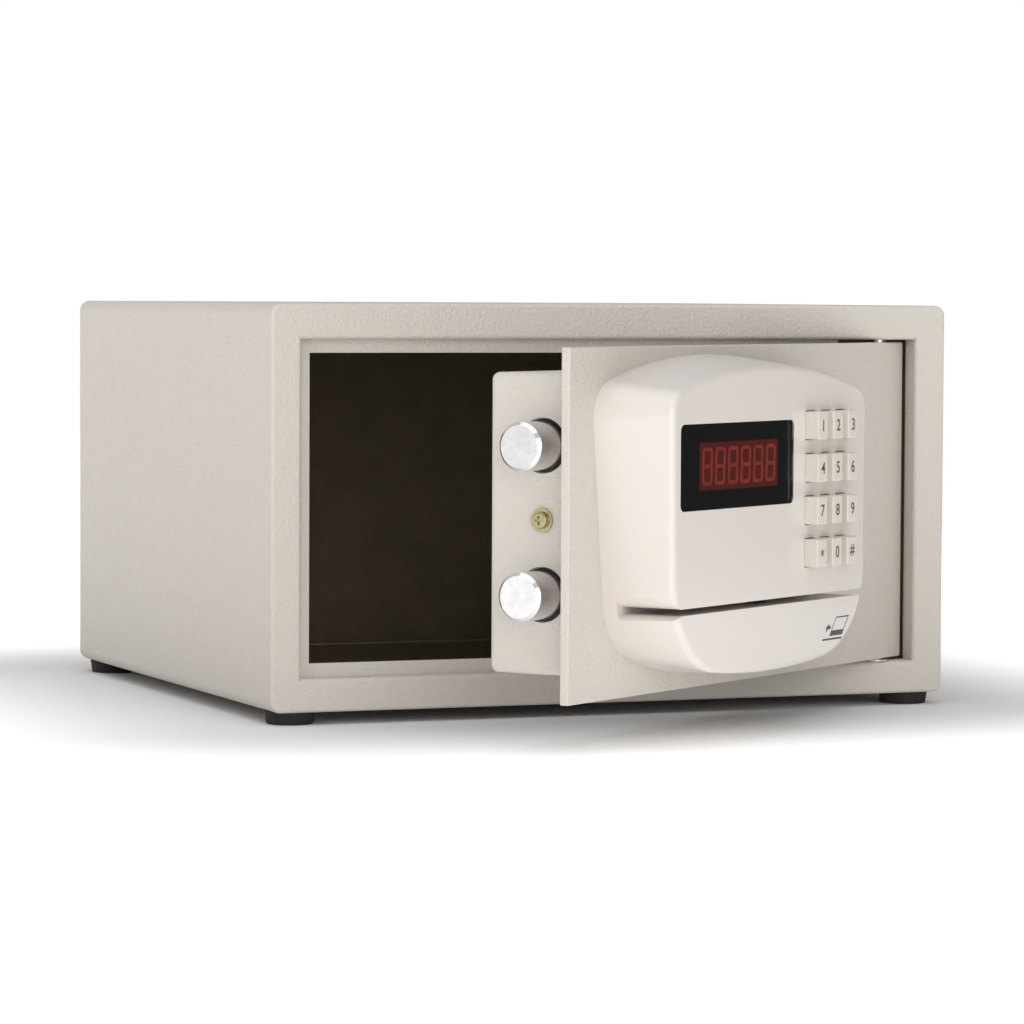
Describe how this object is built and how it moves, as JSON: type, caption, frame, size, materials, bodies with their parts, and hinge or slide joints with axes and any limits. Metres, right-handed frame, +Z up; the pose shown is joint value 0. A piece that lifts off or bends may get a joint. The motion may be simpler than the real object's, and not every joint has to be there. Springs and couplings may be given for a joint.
{
  "type": "in room safe",
  "caption": "Low steel in-room safe, front door ajar, with an electronic keypad lock, a card groove and round locking bolts.",
  "frame": {"origin": "on the plane the feet stand on, under the middle of the casing's width and depth", "axes": "+Z up, front and door towards -Y, +X towards the hinge side as seen from the front"},
  "size_m": [0.4064, 0.5857, 0.2286],
  "materials": {
    "body_paint": "textured powder coat, warm light grey",
    "housing_plastic": "satin moulded plastic, warm light grey",
    "key_plastic": "satin moulded keys, beige, with printed grey characters",
    "dark_window": "smoked polished window",
    "black_plastic": "moulded, fine grain",
    "circuit_board": "green solder resist",
    "cell_wrap": null,
    "black_rubber": "moulded rubber",
    "bolt_chrome": "polished chrome plate",
    "bright_steel": "turned bright steel",
    "zinc_steel": "clear zinc plate",
    "yellow_zinc": "yellow passivated zinc plate on steel",
    "bronze": "sintered bronze",
    "carpet": "dark brown needle-felt carpet",
    "lining_felt": "dark brown felt"
  },
  "bodies": {
    "casing": {"body_shell": "body_paint", "front_frame": "body_paint", "door_stop": "body_paint", "back_panel": "body_paint", "floor_carpet": "carpet", "top_lining": "lining_felt", "left_lining": "lining_felt", "right_lining": "lining_felt", "back_lining": "lining_felt", "front_left_foot": "black_rubber", "rear_left_foot": "black_rubber", "front_right_foot": "black_rubber", "rear_right_foot": "black_rubber", "foot_screws": "zinc_steel", "lower_hinge_block": "body_paint", "upper_hinge_block": "body_paint", "lower_hinge_bush": "bronze", "upper_hinge_bush": "bronze", "hinge_washer": "bright_steel"},
    "door": {"door_plate": "body_paint", "lower_hinge_lug": "body_paint", "upper_hinge_lug": "body_paint", "lower_hinge_pin": "bright_steel", "upper_hinge_pin": "bright_steel", "lock_housing": "housing_plastic", "reader_housing": "housing_plastic", "read_head": "black_plastic", "display_window": "dark_window", "led_display": "black_plastic", "keypad_board": "circuit_board", "key_mat": "black_rubber", "bolt_chassis": "zinc_steel", "upper_bolt_bush": "black_plastic", "lower_bolt_bush": "black_plastic", "gear_motor": "bright_steel", "battery_holder": "black_plastic", "batteries": "cell_wrap", "control_board": "circuit_board", "bolt_cover": "body_paint", "battery_door": "body_paint", "cover_screws": "yellow_zinc", "housing_screws": "zinc_steel"},
    "bolt_slide": {"upper_bolt": "bolt_chrome", "lower_bolt": "bolt_chrome", "bolt_carriage": "zinc_steel", "bolt_screws": "zinc_steel"},
    "pinion": {"drive_pinion": "bright_steel"},
    "button_1": {"key_1": "key_plastic"},
    "button_2": {"key_2": "key_plastic"},
    "button_3": {"key_3": "key_plastic"},
    "button_4": {"key_4": "key_plastic"},
    "button_5": {"key_5": "key_plastic"},
    "button_6": {"key_6": "key_plastic"},
    "button_7": {"key_7": "key_plastic"},
    "button_8": {"key_8": "key_plastic"},
    "button_9": {"key_9": "key_plastic"},
    "button_star": {"key_star": "key_plastic"},
    "button_0": {"key_0": "key_plastic"},
    "button_hash": {"key_hash": "key_plastic"}
  },
  "joints": [
    {"name": "door_hinge", "type": "hinge", "parent": "casing", "child": "door", "pos_m": [0.1647, -0.177, 0.11735], "axis": [0, 0, 1], "range_deg": [-36, 55]},
    {"name": "bolt_throw", "type": "slide", "parent": "door", "child": "bolt_slide", "axis": [0.809, 0.5878, 0], "range_m": [0, 0.021]},
    {"name": "pinion_spin", "type": "hinge", "parent": "door", "child": "pinion", "pos_m": [-0.05722, -0.31475, 0.12435], "axis": [-0.5878, 0.809, 0], "range_deg": [-101, 0]},
    {"name": "press_1", "type": "slide", "parent": "door", "child": "button_1", "axis": [-0.5878, 0.809, 0], "range_m": [0, 0.0015], "stiffness_N_per_m": 600, "springref_m": -0.0005},
    {"name": "press_2", "type": "slide", "parent": "door", "child": "button_2", "axis": [-0.5878, 0.809, 0], "range_m": [0, 0.0015], "stiffness_N_per_m": 600, "springref_m": -0.0005},
    {"name": "press_3", "type": "slide", "parent": "door", "child": "button_3", "axis": [-0.5878, 0.809, 0], "range_m": [0, 0.0015], "stiffness_N_per_m": 600, "springref_m": -0.0005},
    {"name": "press_4", "type": "slide", "parent": "door", "child": "button_4", "axis": [-0.5878, 0.809, 0], "range_m": [0, 0.0015], "stiffness_N_per_m": 600, "springref_m": -0.0005},
    {"name": "press_5", "type": "slide", "parent": "door", "child": "button_5", "axis": [-0.5878, 0.809, 0], "range_m": [0, 0.0015], "stiffness_N_per_m": 600, "springref_m": -0.0005},
    {"name": "press_6", "type": "slide", "parent": "door", "child": "button_6", "axis": [-0.5878, 0.809, 0], "range_m": [0, 0.0015], "stiffness_N_per_m": 600, "springref_m": -0.0005},
    {"name": "press_7", "type": "slide", "parent": "door", "child": "button_7", "axis": [-0.5878, 0.809, 0], "range_m": [0, 0.0015], "stiffness_N_per_m": 600, "springref_m": -0.0005},
    {"name": "press_8", "type": "slide", "parent": "door", "child": "button_8", "axis": [-0.5878, 0.809, 0], "range_m": [0, 0.0015], "stiffness_N_per_m": 600, "springref_m": -0.0005},
    {"name": "press_9", "type": "slide", "parent": "door", "child": "button_9", "axis": [-0.5878, 0.809, 0], "range_m": [0, 0.0015], "stiffness_N_per_m": 600, "springref_m": -0.0005},
    {"name": "press_star", "type": "slide", "parent": "door", "child": "button_star", "axis": [-0.5878, 0.809, 0], "range_m": [0, 0.0015], "stiffness_N_per_m": 600, "springref_m": -0.0005},
    {"name": "press_0", "type": "slide", "parent": "door", "child": "button_0", "axis": [-0.5878, 0.809, 0], "range_m": [0, 0.0015], "stiffness_N_per_m": 600, "springref_m": -0.0005},
    {"name": "press_hash", "type": "slide", "parent": "door", "child": "button_hash", "axis": [-0.5878, 0.809, 0], "range_m": [0, 0.0015], "stiffness_N_per_m": 600, "springref_m": -0.0005}
  ],
  "couplings": [
    {"joint": "pinion_spin", "follows": "bolt_throw", "rad_per_m": -83.333}
  ]
}
